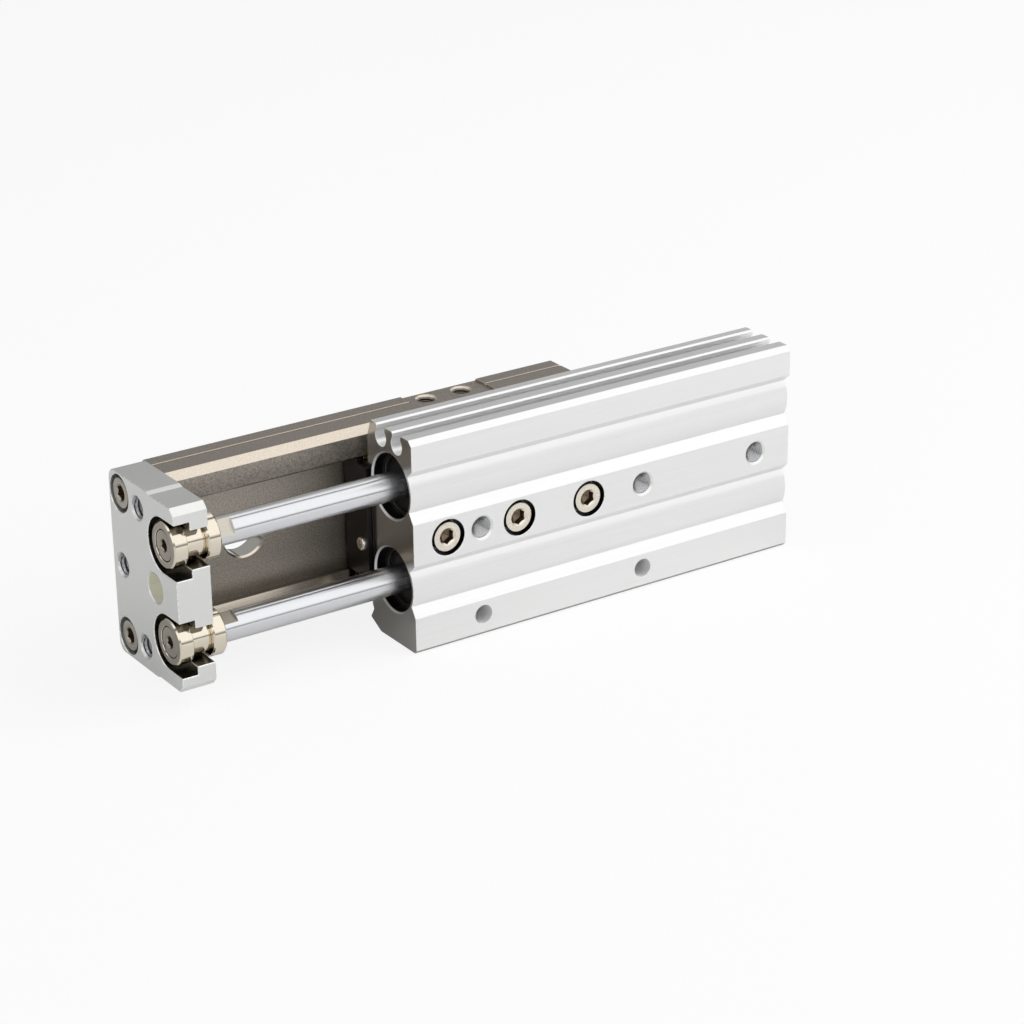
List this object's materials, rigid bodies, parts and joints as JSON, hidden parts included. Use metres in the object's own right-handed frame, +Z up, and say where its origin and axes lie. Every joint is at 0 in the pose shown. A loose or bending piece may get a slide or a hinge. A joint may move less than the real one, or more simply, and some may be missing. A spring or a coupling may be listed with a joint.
{
  "type": "slide table cylinder",
  "caption": "Twin-bore air slide table: finned aluminium body, steel table on a crossed roller guide, end plate on floating piston rods, with sensor slots and threaded mounts.",
  "frame": {"origin": "on the mounting face, midway between the front pair of mounting threads, on the centre line between the two bores", "axes": "+X along the stroke towards the rear of the body, +Y from the mounting face to the table, +Z up across the two bores towards the sensor slots; the table extends towards -X"},
  "size_m": [0.197, 0.04, 0.062],
  "materials": {
    "body_anodised": "clear satin anodised extrusion, milled ends",
    "plate_anodised": "clear satin anodised",
    "table_nickel": "blasted and nickel plated, fine grain",
    "guide_steel": "ground, dark",
    "stopper_steel": "plain",
    "screw_nickel": "nickel plated, warm",
    "bush_nickel": "turned, nickel plated",
    "rod_chrome": "hard chrome, polished",
    "spring_steel": "phosphated spring steel",
    "roller_steel": "ground",
    "cage_brass": "stamped strip",
    "cover_dark": "black anodised",
    "cap_aluminium": "turned",
    "piston_aluminium": "turned",
    "seal_rubber": "moulded nitrile rubber",
    "bumper_urethane": "moulded urethane",
    "magnet_bonded": "bonded ferrite",
    "wear_ring_plastic": "filled resin"
  },
  "bodies": {
    "cylinder": {"cylinder_body": "body_anodised", "guide_block": "guide_steel", "guide_block_screws": "screw_nickel", "roller_stopper_front": "stopper_steel", "roller_stopper_rear": "stopper_steel", "stopper_screws": "screw_nickel", "rod_cover_snap_rings": "spring_steel", "head_cap_snap_rings": "spring_steel", "rod_cover_upper": "cover_dark", "rod_seal_upper": "seal_rubber", "rod_cover_o_ring_upper": "seal_rubber", "rod_bumper_upper": "bumper_urethane", "head_cap_upper": "cap_aluminium", "head_cap_o_ring_upper": "seal_rubber", "head_bumper_upper": "bumper_urethane", "rod_cover_lower": "cover_dark", "rod_seal_lower": "seal_rubber", "rod_cover_o_ring_lower": "seal_rubber", "rod_bumper_lower": "bumper_urethane", "head_cap_lower": "cap_aluminium", "head_cap_o_ring_lower": "seal_rubber", "head_bumper_lower": "bumper_urethane"},
    "table": {"slide_table": "table_nickel", "end_plate": "plate_anodised", "end_plate_screws": "screw_nickel", "rod_end_screws": "screw_nickel", "piston_rod_upper": "rod_chrome", "piston_upper": "piston_aluminium", "piston_seal_upper": "seal_rubber", "piston_magnet_upper": "magnet_bonded", "piston_wear_ring_upper": "wear_ring_plastic", "floating_bush_upper": "bush_nickel", "rod_washer_upper": "bush_nickel", "piston_rod_lower": "rod_chrome", "piston_lower": "piston_aluminium", "piston_seal_lower": "seal_rubber", "piston_magnet_lower": "magnet_bonded", "piston_wear_ring_lower": "wear_ring_plastic", "floating_bush_lower": "bush_nickel", "rod_washer_lower": "bush_nickel"},
    "cages": {"roller_cage_upper": "cage_brass", "rollers_upper": "roller_steel", "roller_cage_lower": "cage_brass", "rollers_lower": "roller_steel"}
  },
  "joints": [
    {"name": "table_slide", "type": "slide", "parent": "cylinder", "child": "table", "axis": [-1, 0, 0], "range_m": [-0.05, 0]},
    {"name": "cage_slide", "type": "slide", "parent": "cylinder", "child": "cages", "axis": [-1, 0, 0], "range_m": [-0.025, 0]}
  ],
  "couplings": [
    {"joint": "cage_slide", "follows": "table_slide", "ratio": 0.5}
  ]
}
